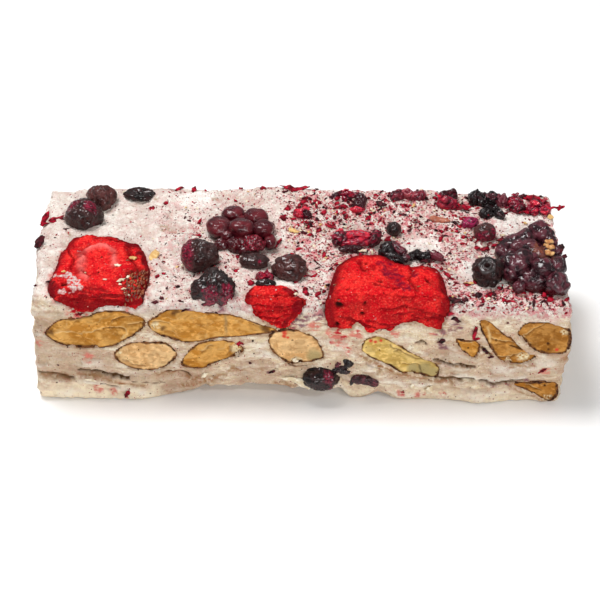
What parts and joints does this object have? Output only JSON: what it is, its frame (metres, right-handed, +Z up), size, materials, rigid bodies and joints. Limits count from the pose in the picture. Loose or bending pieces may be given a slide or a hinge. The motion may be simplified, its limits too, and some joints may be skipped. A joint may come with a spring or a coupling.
{
  "type": "nougat bar",
  "caption": "Rectangular slice of soft white nougat with halved almonds in its cut faces and dried strawberries and berries pressed into its top.",
  "frame": {"origin": "middle of the flat underside", "axes": "+X along the bar, -Y the cut front, +Z up"},
  "size_m": [0.118, 0.0457, 0.034],
  "materials": {
    "nougat": "soft, slightly rough, dull sheen",
    "almond": "cut roasted kernel, satin",
    "almond_skin": "dry, papery",
    "strawberry": "dry, porous",
    "bramble": "glossy drupelets",
    "blueberry": "wrinkled, leathery, low gloss",
    "raspberry": "torn, satin"
  },
  "bodies": {
    "root": {"nougat": "nougat", "almond_front_1": "almond", "almond_front_2": "almond", "almond_front_3": "almond", "almond_front_4": "almond", "almond_front_5": "almond", "almond_front_6": "almond", "almond_front_7": "almond", "almond_front_8": "almond", "almond_front_9": "almond", "almond_front_10": "almond", "almond_back_1": "almond", "almond_back_2": "almond", "almond_back_3": "almond", "almond_back_4": "almond", "almond_back_5": "almond", "almond_back_6": "almond", "almond_back_7": "almond", "almond_back_8": "almond", "almond_left_1": "almond", "almond_left_2": "almond", "almond_right_1": "almond", "almond_right_2": "almond", "strawberry_1": "strawberry", "strawberry_2": "strawberry", "strawberry_3": "strawberry", "bramble_1": "bramble", "bramble_2": "bramble", "blueberry_1": "blueberry", "blueberry_2": "blueberry", "blueberry_3": "blueberry", "blueberry_4": "blueberry", "blueberry_5": "blueberry", "blueberry_6": "blueberry", "blueberry_7": "blueberry", "blueberry_8": "blueberry", "blueberry_9": "blueberry", "blueberry_10": "blueberry", "blueberry_11": "blueberry", "raspberry_shred_1": "raspberry", "raspberry_shred_2": "raspberry", "raspberry_shred_3": "raspberry", "raspberry_shred_4": "raspberry", "raspberry_shred_5": "raspberry", "raspberry_shred_6": "raspberry", "raspberry_shred_7": "raspberry", "raspberry_shred_8": "raspberry", "raspberry_shred_9": "raspberry", "raspberry_shred_10": "raspberry", "berry_skin_1": "blueberry", "berry_skin_2": "blueberry", "berry_skin_3": "blueberry", "berry_skin_4": "blueberry", "berry_skin_5": "blueberry", "berry_skin_6": "blueberry", "berry_skin_7": "blueberry", "almond_sliver": "almond_skin"}
  },
  "joints": []
}
